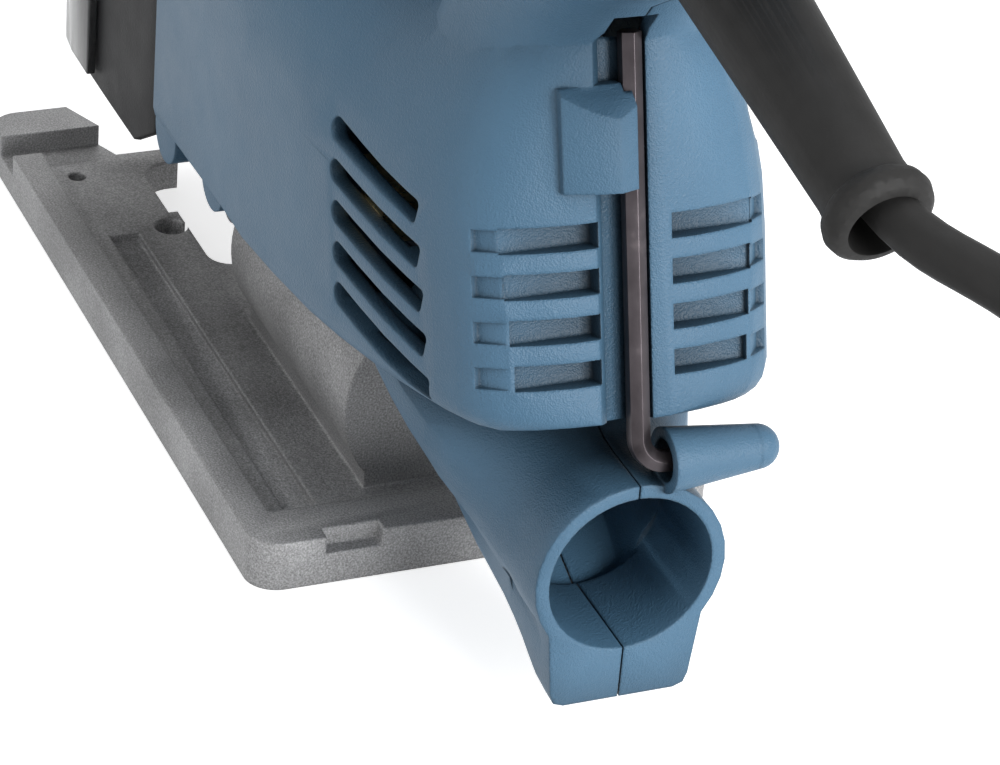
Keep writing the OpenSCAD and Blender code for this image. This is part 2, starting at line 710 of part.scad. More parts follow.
// Grooved roller behind the blade
module roller() {
    color([0.6, 0.6, 0.62]) placed() translate([roller_x, 0, roller_z]) rotate([90, 0, 0])
        rotate_extrude($fn = 64) polygon([
        [pivot_r + fit, -2.5], [roller_r, -2.5], [roller_r, -0.8], [roller_r - 1.1, 0], [roller_r, 0.8],
            [roller_r, 2.5], [pivot_r + fit, 2.5]
    ]);
}

// Plunger rod with the yoke that the crank drives
module plunger() {
    h = yoke_h + 1.5;
    color([0.7, 0.71, 0.73]) placed() difference() {
        union() {
            translate([plunger_x, 0, plunger_z0]) cylinder(r = plunger_r, h = plunger_z1 - plunger_z0);
            slab_x(plunger_x, yoke_x) polygon([
                [-yoke_w, gear_z - h + 3], [-yoke_w + 3, gear_z - h], [yoke_w - 3, gear_z - h],
                    [yoke_w, gear_z - h + 3],
                [yoke_w, gear_z + h - 3], [yoke_w - 3, gear_z + h], [-yoke_w + 3, gear_z + h],
                    [-yoke_w, gear_z + h - 3]
            ]);
        }
        block([yoke_x - 4.5, -yoke_w + 2, gear_z - yoke_h + 1.4],
            [yoke_x + 1, yoke_w - 2, gear_z + yoke_h - 1.4]);
    }
}

// Clamp for the blade's shank at the foot of the plunger
module blade_holder() {
    color([0.45, 0.45, 0.47]) placed() difference() {
        translate([plunger_x, 0, 0]) union() {
            translate([0, 0, holder_z0]) cylinder(r = 6.5, h = holder_z1 - holder_z0);
            block([-6.5, -5, holder_z0], [-2, 5, holder_z0 + 9]);
        }
        translate([plunger_x, 0, plunger_z0]) cylinder(r = plunger_r + 0.02, h = 20);
        block([plunger_x - 4, -0.8, holder_z0 - 1], [plunger_x + 4, 0.8, plunger_z0 + 0.02]);
        rod_x(plunger_x - 10, plunger_x - 1, 1.6, 0, holder_z0 + 3.4);
    }
}

// Socket screw that tightens the blade clamp
module blade_bolts() {
    color([0.25, 0.25, 0.27]) placed() translate([plunger_x, 0, holder_z0 + 3.4]) difference() {
        union() {
            rod_x(-9, -1, 1.55);
            rod_x(-9.9, -6.6, 3);
        }
        translate([-10.5, 0, 0]) rotate([0, 90, 0]) cylinder(r = 1.5, h = 2, $fn = 6);
    }
}

// Outline of a spur wheel
function wheel(n, r, phase) = [for (i = [0:n - 1], q = [[-0.35, -1.2], [-0.2, 0.95], [0.2, 0.95], [0.35, -1.2]])
    let(a = (i + q[0] * 0.72 + phase) * 360 / n, d = r + q[1] * gear_module) [d * cos(a), d * sin(a)]];

// Crank gear with its hub and crank pin
module crank_gear() {
    color([0.5, 0.5, 0.53]) placed() difference() {
        union() {
            translate([0, 0, gear_z]) slab_x(gear_x0, gear_x0 + gear_t) polygon(wheel(gear_teeth, gear_r,
                gear_teeth % 4 == 0 ? 0 : 0.5));
            rod_x(gear_x0 + gear_t - 1, case_x1 - bulkhead - seat, 7, 0, gear_z);
            rod_x(yoke_x + seat, gear_x0 + 1, 3, crank_r, gear_z);
        }
        rod_x(gear_x0 - 1, case_x1, shaft_r + fit, 0, gear_z);
    }
}

// Motor shaft with the pinion cut on its front end
module armature_shaft() {
    color([0.68, 0.68, 0.7]) placed() union() {
        translate([0, 0, motor_z]) slab_x(gear_x0, gear_x0 + gear_t + 1) polygon(wheel(pinion_teeth,
            pinion_r, 0.5));
        rod_x(gear_x0 + gear_t, rear_bearing_x + 6, shaft_r - 0.8, 0, motor_z);
    }
}

// Laminated core and its windings
module armature_core() {
    r = shaft_r - 0.8;
    x0 = stator_x - stator_l / 2;
    x1 = stator_x + stator_l / 2;
    color([0.5, 0.36, 0.24]) placed() difference() {
        union() {
            rod_x(x0, x1, core_r, 0, motor_z);
            rod_x(x0 - 5, x1 + 5, core_r - 3, 0, motor_z);
        }
        rod_x(x0 - 6, x1 + 6, r, 0, motor_z);
        for (i = [0:11]) translate([x0 - 1, 0, motor_z]) rotate([i * 30, 0, 0]) block([0, -0.9,
            core_r - 2.6], [stator_l + 2, 0.9, core_r + 1]);
    }
}

// Commutator behind the windings
module commutator() {
    color([0.72, 0.42, 0.25]) placed() difference() {
        rod_x(brush_x - 6, brush_x + 5, 10, 0, motor_z);
        rod_x(brush_x - 7, brush_x + 6, shaft_r - 0.8, 0, motor_z);
        for (i = [0:11]) translate([brush_x - 5, 0, motor_z]) rotate([i * 30, 0, 0]) block([0, -0.3, 9.2],
            [11, 0.3, 11]);
    }
}

// Cooling fan on the motor shaft
module fan() {
    color([0.15, 0.15, 0.16]) placed() difference() {
        union() {
            rod_x(12, 22, 6, 0, motor_z);
            rod_x(12, 13.6, 20, 0, motor_z);
            for (i = [0:11]) translate([12.8, 0, motor_z]) rotate([i * 30, 0, 0]) rotate([0, 0, 0])
                block([0, -0.7, 5.5], [8, 0.7, 19.6]);
        }
        rod_x(11, 23, shaft_r - 0.8, 0, motor_z);
    }
}

// Ball bearing on the motor shaft, from x to x + 6 at most
module bearing(x, l) {
    color([0.78, 0.78, 0.8]) placed() translate([x, 0, motor_z]) rotate([0, 90, 0]) rotate_extrude($fn = 64)
        polygon([
        [shaft_r - 0.8 + 0.02, 0], [5, 0], [5, 0.6], [6.4, 0.6], [6.4, 0], [bearing_r, 0],
        [bearing_r, l], [6.4, l], [6.4, l - 0.6], [5, l - 0.6], [5, l], [shaft_r - 0.8 + 0.02, l]
    ]);
}

// Bearing in the wall of the gear case
module front_bearing() {
    bearing(case_x1 - bulkhead, bulkhead);
}

// Bearing at the rear of the motor
module rear_bearing() {
    bearing(rear_bearing_x, 5);
}

// Laminated stator with its field coils
module stator() {
    x0 = stator_x - stator_l / 2;
    x1 = stator_x + stator_l / 2;
    color([0.42, 0.42, 0.44]) placed() difference() {
        union() {
            rod_x(x0, x1, stator_r, 0, motor_z);
            for (s = [-1, 1]) intersection() {
                rod_x(x0 - 3.5, x1 + 3.5, stator_r - 0.6, 0, motor_z);
                block([x0 - 4, -14, motor_z + (s > 0 ? 12 : -21)], [x1 + 4, 14, motor_z + (s > 0 ? 21 : -12)]);
            }
        }
        rod_x(x0 - 8, x1 + 8, core_r + 0.6, 0, motor_z);
    }
}

// Ring that guides the air from the motor into the fan
module fan_baffle() {
    x0 = stator_x - stator_l / 2 - 6;
    color([0.2, 0.2, 0.2]) placed() difference() {
        rod_x(x0, x0 + 1.6, stator_r, 0, motor_z);
        rod_x(x0 - 1, x0 + 3, 14.5, 0, motor_z);
    }
}

// Brush holders, one on each side of the commutator
module brush_holders() {
    y1 = body_w(brush_x) - wall - seat - 1.2;
    color([0.6, 0.5, 0.3]) placed() for (s = [-1, 1]) scale([1, s, 1]) difference() {
        block([brush_x - 5, 11, motor_z - 5], [brush_x + 4, y1, motor_z + 5]);
        block([brush_x - 3.6, 10, motor_z - 3.1], [brush_x + 2.6, y1 - 1.5, motor_z + 3.1]);
    }
}

// Carbon brushes in their holders
module carbon_brushes() {
    y1 = body_w(brush_x) - wall - seat - 5;
    color([0.12, 0.12, 0.13]) placed() for (s = [-1, 1]) scale([1, s, 1]) block([brush_x - 3.5, 10.1,
        motor_z - 3], [brush_x + 2.5, y1, motor_z + 3]);
}

// Switch module inside the grip
module switch_module() {
    color([0.16, 0.16, 0.18]) placed() union() {
        block([switch_x0, -switch_w, switch_z0], [switch_x1, switch_w, switch_z1]);
        block([switch_x0 + 10, -3, switch_z0 - 1], [switch_x0 + 16, 3, switch_z0]);
    }
}

// Trigger that swings up into the grip
module trigger() {
    color([0.1, 0.1, 0.11]) placed() difference() {
        union() {
            slab_y(-trigger_w / 2, trigger_w / 2) polygon([
                [trigger_x, trigger_z + 3], [trigger_x + 3, trigger_z], [trigger_x - 1, trigger_z - 5],
                    [24, trigger_z - 10],
                [14, trigger_z - 13.5], [4, trigger_z - 15.5], [-3, trigger_z - 15], [-6.6, trigger_z - 12],
                    [-6.2, trigger_z - 3],
                [-2.8, trigger_z - 2.6], [-2.4, trigger_z + 1.8], [10, trigger_z + 2.7]
            ]);
            rod_y(-trigger_w / 2 - 3.6, trigger_w / 2 + 3.6, pivot_r, trigger_x, trigger_z);
        }
        for (x = [2, 8, 14]) rod_y(-10, 10, 0.8, x, trigger_z - 16 + x * 0.18);
    }
}

// Button that locks the trigger, pushed in from the left
module lock_on_button() {
    color([0.1, 0.1, 0.11]) placed() union() {
        rod_y(-grip_w - 2.6, -trigger_w / 2 - lock_push - 0.6, lock_r, lock_x, lock_z);
        rod_y(-trigger_w / 2 - lock_push - 1, -trigger_w / 2 - 0.4, 3, lock_x, lock_z);
    }
}

// Hex key stored on the rear face, long arm up and short arm in its tube
module hex_key() {
    r = key_r;
    b = 4;
    color([0.2, 0.19, 0.18]) placed() translate([key_x + lean * (lean_z0 - key_z), 0, key_z]) rotate([0,
        -rear_lean, 0]) union() {
        translate([0, 0, b]) cylinder(r = r, h = key_l - b, $fn = 6);
        translate([0, b, b]) rotate([0, 90, 0]) rotate([0, 0, -90]) rotate_extrude(angle = 90) translate([b,
            0]) rotate(30) circle(r = r, $fn = 6);
        translate([0, b, 0]) rotate([-90, 0, 0]) cylinder(r = r, h = tube_y + tube_l - b - 1, $fn = 6);
    }
}

// Clear shield that slides on the front of the nose
module dust_cover() {
    color([0.8, 0.85, 0.9, 0.5]) placed() difference() {
        loft([for (z = [shield_z0, shield_z1]) nose_ring(z, -seat - 1.6)]);
        loft([for (z = [shield_z0 - 1, shield_z1 + 1]) nose_ring(z, -seat)]);
        block([-42, -60, 0], [20, 60, 120]);
    }
}

// Clamp that holds the cord inside the handle
module cord_clamp() {
    color([0.14, 0.14, 0.15]) placed() on_guard() translate([0, 0, -15.3]) difference() {
        block([-5, -9, 0], [5, 9, 6]);
        translate([0, 0, -1]) cylinder(r = cord_d / 2 + fit, h = 8);
    }
}

// Rubber guard around the cord, with a rim at its end
module cord_guard() {
    color([0.07, 0.07, 0.08]) placed() on_guard() rotate_extrude($fn = 64) polygon([
        [cord_d / 2 + fit, -9], [guard_r0 - 1 - fit, -9], [guard_r0 - 1 - fit, 0], [guard_r0 - 0.3, 3],
            [guard_r1, guard_l - 7],
        for (a = [-60:30:90]) [flange_r + bead_r * (cos(a) - 1), guard_l + bead_r * (sin(a) - 1)],
        [flange_r - bead_r - 0.1, guard_l - 0.5], [cord_d / 2 + fit, guard_l - 14]
    ]);
}

// ---- Cord -------------------------------------------------------------------------------

// Route of the cord from inside the guard to the coil
cord_route = [
    guard_root, guard_root + [24, 1.2, -7.7], guard_root + [49, 2.6, -15.9], guard_root + [61, 7.4, -15.4],
    guard_root + [73, 14.6, -18], guard_root + [82, 20.5, -27], [214, 22.5, 84], [219, 20.5, 69.5],
    [226, 13, 57.5],
    [234, 4, 51], [240.5, -5, 46.5], [245.2, -12.5, 41], [248, -17.8, 34], [249.5, -21.3, 26.5], [250, -27, 18.5],
    [250, -35.5, 12], [250.4, -46, 7.5], [249.5, -58, 4.5]
];
cord_points = course(cord_route, 4);
cord_n = len(cord_points);
coil_r = 34.5;
coil_x = 205;
coil_y = -58;
coil_w = cord_d * 1.53;
coil_h = cord_d * 4.1;
plug_l = 42;
plug_r = 9;
plug_x = coil_x - 13.3 + plug_l;
plug_y = coil_y + 28;
plug_z = coil_h + plug_r;

// Tube swept along the route
module power_cord() {
    r = cord_d / 2;
    color([0.1, 0.1, 0.11]) placed() loft([for (i = [0:cord_n - 1])
        let(
            d = cord_points[min(i + 1, cord_n - 1)] - cord_points[max(i - 1, 0)],
            u = d / norm(d),
            side = cross([0, 0, 1], u) / norm(cross([0, 0, 1], u)),
            up = cross(u, side)
        )
        [for (a = [0:36:324]) cord_points[i] + r * (cos(a) * side + sin(a) * up)]]);
}

// The rest of the cord, coiled on the floor
module cord_coil() {
    c = cord_d / 2;
    color([0.1, 0.1, 0.11]) placed() translate([coil_x, coil_y, 0]) rotate_extrude($fn = 64)
        translate([coil_r, 0]) polygon([
        [-coil_w, c], [c - coil_w, 0], [coil_w - c, 0], [coil_w, c],
        [coil_w, coil_h - c], [coil_w - c, coil_h], [c - coil_w, coil_h], [-coil_w, coil_h - c]
    ]);
}

// Moulded plug at the far end, lying on the coil
module power_plug() {
    color([0.09, 0.09, 0.1]) placed() translate([plug_x, plug_y, plug_z]) rotate([0, -90, 0])
        rotate_extrude($fn = 48) polygon([
            [0, 0], [plug_r, 0], [plug_r, plug_l * 0.44], [plug_r - 1, plug_l * 0.6], [4.6, plug_l * 0.72],
                [4.2, plug_l], [0, plug_l]
        ]);
}

// Pins of the plug
module plug_pins() {
    color([0.85, 0.75, 0.45]) placed() for (s = [-1, 1]) rod_x(plug_x + 0.02, plug_x + 19, 2.4,
        plug_y + s * 5, plug_z);
}

housing_left();
housing_right();
housing_screws();
nose_cover();
gear_housing();
plunger_bushes();
gear_shaft();
base();
tilt_bolt();
clamp_plate();
roller_fork();
fork_pin();
roller();
plunger();
blade_holder();
blade_bolts();
crank_gear();
armature_shaft();
armature_core();
commutator();
fan();
front_bearing();
rear_bearing();
stator();
fan_baffle();
brush_holders();
carbon_brushes();
switch_module();
trigger();
lock_on_button();
hex_key();
dust_cover();
cord_clamp();
cord_guard();
power_cord();
cord_coil();
power_plug();
plug_pins();
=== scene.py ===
# %% [markdown]
# A corded jigsaw, dressed over its CAD frame
#
# The CAD model brings every solid of the saw at its real size: the two halves of the plastic housing, the
# cast base, the drive inside and the cord. This script gives each of them its finish, makes the moulded
# surfaces smooth and adds the real cord. +Z is up, the blade end is -X and the saw's left side is -Y.

# %% Load the frame
import json
from math import cos, pi, radians, sin

import bpy
from mathutils import Matrix, Vector


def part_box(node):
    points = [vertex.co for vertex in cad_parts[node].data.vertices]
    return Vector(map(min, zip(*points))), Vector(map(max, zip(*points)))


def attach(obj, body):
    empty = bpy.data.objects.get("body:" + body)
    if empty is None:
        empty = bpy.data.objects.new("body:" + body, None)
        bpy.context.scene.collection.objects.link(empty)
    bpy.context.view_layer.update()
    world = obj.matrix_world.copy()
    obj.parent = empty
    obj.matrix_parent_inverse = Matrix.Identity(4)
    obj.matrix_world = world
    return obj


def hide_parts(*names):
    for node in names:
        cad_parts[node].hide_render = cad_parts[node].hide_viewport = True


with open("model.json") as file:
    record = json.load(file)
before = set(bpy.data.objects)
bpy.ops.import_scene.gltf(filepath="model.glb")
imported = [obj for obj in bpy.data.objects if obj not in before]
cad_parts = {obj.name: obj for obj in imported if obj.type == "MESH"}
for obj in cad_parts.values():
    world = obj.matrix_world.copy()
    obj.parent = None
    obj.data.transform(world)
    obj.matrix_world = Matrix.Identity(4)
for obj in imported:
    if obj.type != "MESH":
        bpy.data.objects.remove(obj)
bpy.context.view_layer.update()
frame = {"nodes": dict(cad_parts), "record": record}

# %% [markdown]
# The camera
#
# The saw is looked at from behind, above and a little to its left, with a long lens, so that the nozzle,
# the grilles and the key fill the view. A camera can be placed by rotation angles or by its three own
# directions. The directions are used here, because a small roll about the line of sight is then one more
# turn.

# %% Camera
VIEW_AZIMUTH = radians(65.4)
VIEW_ELEVATION = radians(30.62)
VIEW_ROLL = radians(4.97)
CAMERA_PLACE = Vector((0.5224, -0.2220, 0.34685))
LENS_LENGTH = 146.6
NOZZLE_MOUTH = Vector((0.08, 0, 0.06))


def camera_turn(azimuth, elevation, roll):
    """Rotation of a camera that looks from an azimuth and an elevation, rolled about its own axis."""
    right = Vector((cos(azimuth), sin(azimuth), 0))
    back = Vector((sin(azimuth) * cos(elevation), -cos(azimuth) * cos(elevation), sin(elevation)))
    up = back.cross(right)
    rolled_right = right * cos(roll) + up * sin(roll)
    rolled_up = up * cos(roll) - right * sin(roll)
    return Matrix((rolled_right, rolled_up, back)).transposed().to_4x4()


lens = bpy.data.cameras.new("view")
lens.lens = LENS_LENGTH
lens.sensor_width = 36
lens.clip_start = 0.02
lens.clip_end = 20
camera = bpy.data.objects.new("view", lens)
bpy.context.scene.collection.objects.link(camera)
turn = camera_turn(VIEW_AZIMUTH, VIEW_ELEVATION, VIEW_ROLL)
camera.matrix_world = Matrix.Translation(CAMERA_PLACE) @ turn
bpy.context.scene.camera = camera
print("camera is", round((CAMERA_PLACE - NOZZLE_MOUTH).length, 3), "m from the nozzle")

# %% [markdown]
# Small helpers
#
# Every operator in Blender acts on what is selected, and a freshly loaded model is selected all over. So
# each step starts by clearing the selection and choosing one piece. Materials are built from a few kinds
# of node again and again, so a small drawing board for nodes keeps each material short.

# %% Helpers for selecting and for materials


def only(piece):
    """Selects one piece and nothing else."""
    bpy.ops.object.select_all(action="DESELECT")
    piece.select_set(True)
    bpy.context.view_layer.objects.active = piece


class Board:
    """Node tree of one material, with its shader, and short calls that add the usual nodes."""

    def __init__(self, name, roughness, metallic=0.0):
        self.material = bpy.data.materials.new(name)
        self.material.use_nodes = True
        self.nodes = self.material.node_tree.nodes
        self.links = self.material.node_tree.links
        self.shader = self.nodes["Principled BSDF"]
        self.shader.inputs["Roughness"].default_value = roughness
        self.shader.inputs["Metallic"].default_value = metallic
        self.place = self.nodes.new("ShaderNodeTexCoord").outputs["Object"]

    def stretch(self, scale):
        """Object coordinates scaled along each axis."""
        node = self.nodes.new("ShaderNodeMapping")
        node.inputs["Scale"].default_value = scale
        self.links.new(self.place, node.inputs["Vector"])
        return node.outputs["Vector"]

    def noise(self, scale, detail=2.0, vector=None):
        """Soft cloudy pattern, scale in waves a metre."""
        node = self.nodes.new("ShaderNodeTexNoise")
        node.inputs["Scale"].default_value = scale
        node.inputs["Detail"].default_value = detail
        self.links.new(vector or self.place, node.inputs["Vector"])
        return node.outputs["Fac"]

    def grains(self, scale):
        """Distance to the nearest of many small cells, which reads as grain."""
        node = self.nodes.new("ShaderNodeTexVoronoi")
        node.inputs["Scale"].default_value = scale
        self.links.new(self.place, node.inputs["Vector"])
        return node.outputs["Distance"]

    def ramp(self, value, stops):
        """Colours read off a scale from 0 to 1."""
        node = self.nodes.new("ShaderNodeValToRGB")
        first, last = node.color_ramp.elements
        first.position, first.color = stops[0][0], (*stops[0][1], 1)
        last.position, last.color = stops[-1][0], (*stops[-1][1], 1)
        for position, colour in stops[1:-1]:
            node.color_ramp.elements.new(position).color = (*colour, 1)
        self.links.new(value, node.inputs["Fac"])
        return node.outputs["Color"]

    def spread(self, value, low, high):
        """Moves a pattern from 0..1 to low..high."""
        node = self.nodes.new("ShaderNodeMapRange")
        node.inputs["To Min"].default_value = low
        node.inputs["To Max"].default_value = high
        self.links.new(value, node.inputs["Value"])
        return node.outputs["Result"]

    def add(self, a, b, share=1.0):
        """a + share * b."""
        node = self.nodes.new("ShaderNodeMath")
        node.operation = "MULTIPLY_ADD"
        node.inputs[1].default_value = share
        self.links.new(b, node.inputs[0])
        self.links.new(a, node.inputs[2])
        return node.outputs["Value"]

    def painted_shade(self, colour, reach, darkest):
        """Painted shade: darkens a colour in hollows and narrow gaps, where shade falls, over that reach
        in metres.
        """
        node = self.nodes.new("ShaderNodeAmbientOcclusion")
        node.samples = 8
        node.inputs["Distance"].default_value = reach
        shade = self.spread(node.outputs["AO"], darkest, 1.0)
        mix = self.nodes.new("ShaderNodeMix")
        mix.data_type = "RGBA"
        mix.blend_type = "MULTIPLY"
        mix.inputs["Factor"].default_value = 1.0
        self.links.new(colour, mix.inputs["A"])
        self.links.new(shade, mix.inputs["B"])
        return mix.outputs["Result"]

    def colour(self, output):
        self.links.new(output, self.shader.inputs["Base Color"])

    def roughness(self, output):
        self.links.new(output, self.shader.inputs["Roughness"])

    def bump(self, height, depth, strength=1.0, edge=0.0):
        """Relief of that depth in metres; where an edge radius is given, edges look rounded by it."""
        node = self.nodes.new("ShaderNodeBump")
        node.inputs["Distance"].default_value = depth
        node.inputs["Strength"].default_value = strength
        self.links.new(height, node.inputs["Height"])
        if edge:
            soft = self.nodes.new("ShaderNodeBevel")
            soft.samples = 6
            soft.inputs["Radius"].default_value = edge
            self.links.new(soft.outputs["Normal"], node.inputs["Normal"])
        self.links.new(node.outputs["Normal"], self.shader.inputs["Normal"])

    def glow(self, strength):
        """Adds a white glow that only the camera, reflections and clear pieces see."""
        path = self.nodes.new("ShaderNodeLightPath")
        seen = path.outputs["Is Camera Ray"]
        for kind in ("Is Glossy Ray", "Is Transmission Ray"):
            either = self.nodes.new("ShaderNodeMath")
            either.operation = "MAXIMUM"
            self.links.new(seen, either.inputs[0])
            self.links.new(path.outputs[kind], either.inputs[1])
            seen = either.outputs["Value"]
        share = self.nodes.new("ShaderNodeMath")
        share.operation = "MULTIPLY"
        share.inputs[1].default_value = strength
        self.links.new(seen, share.inputs[0])
        self.links.new(share.outputs["Value"], self.shader.inputs["Emission Strength"])
        self.shader.inputs["Emission Color"].default_value = (1, 1, 1, 1)


print("helpers ready")

# %% [markdown]
# Plastic of the housing
#
# The housing is glass-filled nylon from a spark-eroded mould: a soft satin surface with a grain of a
# third of a millimetre that catches light in tiny specks. The grain is relief, so it goes in the bump,
# and the colour drifts a little, as dyed plastic does. The colour is also darkened in hollows, gaps
# and the seam by painted shade.

# %% Material: blue nylon


def blue_nylon():
    board = Board("blue_nylon", 0.47)
    grain = board.grains(3600)
    drift = board.noise(38, 3)
    dyed = board.ramp(drift, [(0.25, (0.053, 0.122, 0.196)), (0.75, (0.063, 0.142, 0.223))])
    # painted shade: the blue is darkened in hollows, narrow gaps and the seam, where shade falls
    board.colour(board.painted_shade(dyed, 0.016, 0.03))
    board.roughness(board.spread(board.noise(160, 4), 0.42, 0.56))
    board.bump(board.add(board.noise(1900, 3), grain, 0.7), 0.00014, 0.7, 0.0007)
    board.shader.inputs["Specular IOR Level"].default_value = 0.36
    return board.material


BLUE_NYLON = blue_nylon()
print("made", BLUE_NYLON.name)

# %% [markdown]
# Black plastic and rubber
#
# Three blacks meet on the saw: the grained cover of the nose, the smooth moulded trigger and button, and
# the rubber of the cord and its guard. Black shows its finish only by its gloss, so each has its own
# roughness and its own grain, and none is pure black.

# %% Materials: black plastic, smooth black plastic, rubber


def black_plastic(name, roughness, depth):
    board = Board(name, roughness)
    dyed = [(0.3, (0.007, 0.0072, 0.008)), (0.7, (0.011, 0.0113, 0.0124))]
    board.colour(board.ramp(board.noise(60, 3), dyed))
    board.shader.inputs["Specular IOR Level"].default_value = 0.2
    board.roughness(board.spread(board.noise(220, 3), roughness - 0.06, roughness + 0.07))
    board.bump(board.add(board.noise(1700, 3), board.grains(3300), 0.6), depth, 0.5, 0.0006)
    return board.material


def cord_rubber():
    board = Board("cord_rubber", 0.62)
    dusted = [(0.3, (0.011, 0.0108, 0.0106)), (0.75, (0.019, 0.0186, 0.0182))]
    board.colour(board.ramp(board.noise(90, 4), dusted))
    board.roughness(board.spread(board.noise(300, 4), 0.52, 0.72))
    board.bump(board.noise(1300, 4), 0.00006, 0.5)
    board.shader.inputs["Specular IOR Level"].default_value = 0.2
    return board.material


GRAINED_BLACK = black_plastic("grained_black", 0.58, 0.00008)
SMOOTH_BLACK = black_plastic("smooth_black", 0.4, 0.00003)
CORD_RUBBER = cord_rubber()
print("made", GRAINED_BLACK.name, SMOOTH_BLACK.name, CORD_RUBBER.name)

# %% [markdown]
# Metals
#
# The base is a shot-blasted casting: dull grey, with fine bright specks and dark pores, and a few broad
# stains. Turned and ground steel is brighter, with faint lines, the hex key and the screws are dark oxide
# with a bronze cast, and the bushes, brushes and commutator are yellow and red metals.

# %% Materials: casting, steel, dark oxide, bronze, copper, laminations


def casting(name, dark, light, depth):
    board = Board(name, 0.55, 0.55)
    fine = board.noise(3200, 5)
    stains = board.noise(46, 4)
    mixed = board.add(fine, stains, 0.55)
    steps = [(0.5, dark), (0.78, [(d + l) / 2 for d, l in zip(dark, light)]), (1.05, light)]
    board.colour(board.ramp(board.spread(mixed, -0.15, 1.0), steps))
    board.roughness(board.spread(board.noise(700, 3), 0.46, 0.66))
    board.bump(board.add(fine, board.grains(3800), 0.8), depth, 0.6, 0.0008)
    return board.material


def worked_metal(name, tint, roughness, lines=(400, 400, 2600)):
    board = Board(name, roughness, 1.0)
    streaks = board.noise(1, 3, board.stretch(lines))
    dark = [0.82 * c for c in tint]
    board.colour(board.ramp(streaks, [(0.3, dark), (0.7, tint)]))
    board.roughness(board.spread(streaks, roughness - 0.07, roughness + 0.09))
    board.bump(streaks, 0.00002, 0.35)
    return board.material


def dark_oxide():
    board = Board("dark_oxide", 0.4, 0.85)
    wear = board.noise(260, 5)
    steps = [(0.3, (0.05, 0.043, 0.047)), (0.62, (0.075, 0.065, 0.071)), (0.85, (0.15, 0.13, 0.135))]
    board.colour(board.ramp(wear, steps))
    board.roughness(board.spread(wear, 0.3, 0.5))
    board.bump(board.noise(1600, 3), 0.00003, 0.4)
    return board.material


BASE_CASTING = casting("base_casting", (0.15, 0.15, 0.151), (0.42, 0.42, 0.424), 0.00008)
CASE_CASTING = casting("case_casting", (0.16, 0.16, 0.163), (0.4, 0.4, 0.405), 0.00006)
GROUND_STEEL = worked_metal("ground_steel", (0.62, 0.62, 0.63), 0.3)
BRONZE = worked_metal("bronze", (0.58, 0.38, 0.17), 0.38)
COPPER = worked_metal("copper", (0.66, 0.3, 0.16), 0.35)
BRASS = worked_metal("plated_brass", (0.7, 0.55, 0.27), 0.28)
LAMINATIONS = worked_metal("laminations", (0.2, 0.2, 0.21), 0.5, (5200, 60, 60))
DARK_OXIDE = dark_oxide()
print("metals made")

# %% [markdown]
# Clear guard, graphite and the rest
#
# The dust guard on the nose is a thin clear moulding with a few scuffs. Clear plastic is the shader's own
# transmission with a little roughness, which is set on its sockets.

# %% Materials: clear plastic and graphite


def clear_plastic():
    board = Board("clear_plastic", 0.12)
    board.colour(board.ramp(board.noise(70, 3), [(0.3, (0.2, 0.205, 0.21)), (0.8, (0.27, 0.275, 0.28))]))
    board.roughness(board.spread(board.noise(900, 5, board.stretch((1, 1, 0.08))), 0.05, 0.22))
    board.shader.inputs["Transmission Weight"].default_value = 0.92
    board.shader.inputs["IOR"].default_value = 1.49
    return board.material


def graphite():
    board = Board("graphite", 0.5, 0.2)
    board.colour(board.ramp(board.noise(900, 4), [(0.3, (0.03, 0.03, 0.032)), (0.7, (0.06, 0.06, 0.063))]))
    board.bump(board.noise(2400, 2), 0.00002, 0.4)
    return board.material


CLEAR_PLASTIC = clear_plastic()
GRAPHITE = graphite()
print("made", CLEAR_PLASTIC.name, GRAPHITE.name)

# %% [markdown]
# The cord
#
# A little over two metres of rubber-sheathed cord leave the handle through the guard, hang down behind
# the saw and lie beside it in a neat round coil, with the plug on top of the coil. A cord is best drawn
# as a curve with a round section, because its length is then the curve's own. The hanging stretch is a
# short list of chosen points, the same that the solid follows, and the coil's turns come from a table
# that says at which turn the cord lies at which radius and height, so that no turn runs through another.

# %% Cord: the points it passes through
TOOL_MIDDLE = 0.035
CORD_D = 0.0066
HANGING = [
    (127, 0, 129), (151, 1.2, 121.3), (176, 2.6, 113.1), (188, 7.4, 113.6), (200, 14.6, 111),
    (209, 20.5, 102), (214, 22.5, 84), (219, 20.5, 69.5), (226, 13, 57.5), (234, 4, 51),
    (240.5, -5, 46.5), (245.2, -12.5, 41), (248, -17.8, 34), (249.5, -21.3, 26.5), (250, -27, 18.5),
    (250, -35.5, 12), (250.4, -46, 7.5),
]
coil_low, coil_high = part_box("cord_coil")
plug_low, plug_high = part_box("power_plug")
COIL_CENTRE = (coil_low + coil_high) / 2
OUTER = 0.0413
INNER = 0.0277
FIRST_RADIUS = OUTER + 0.0032
LEVEL = 0.0068
TURN_STEPS = 16
RISE_BEND = 0.028
RISE_STEPS = 7
PLUG_DEPTH = 0.012
WINDING = [
    (0.25, FIRST_RADIUS, 0.18), (0.34, OUTER, 0), (2, INNER, 0), (2.3, INNER, 1), (4.3, OUTER, 1),
    (4.6, OUTER, 2), (6.6, INNER, 2), (6.9, INNER, 3), (8.5, OUTER, 3), (8.75, OUTER, 3),
]


def winding_at(turn):
    """Radius and height of the cord after so many turns, read off the table."""
    for (t0, r0, k0), (t1, r1, k1) in zip(WINDING, WINDING[1:]):
        if turn <= t1:
            share = (turn - t0) / (t1 - t0)
            return r0 + (r1 - r0) * share, CORD_D / 2 + LEVEL * (k0 + (k1 - k0) * share)
    return WINDING[-1][1], CORD_D / 2 + LEVEL * WINDING[-1][2]


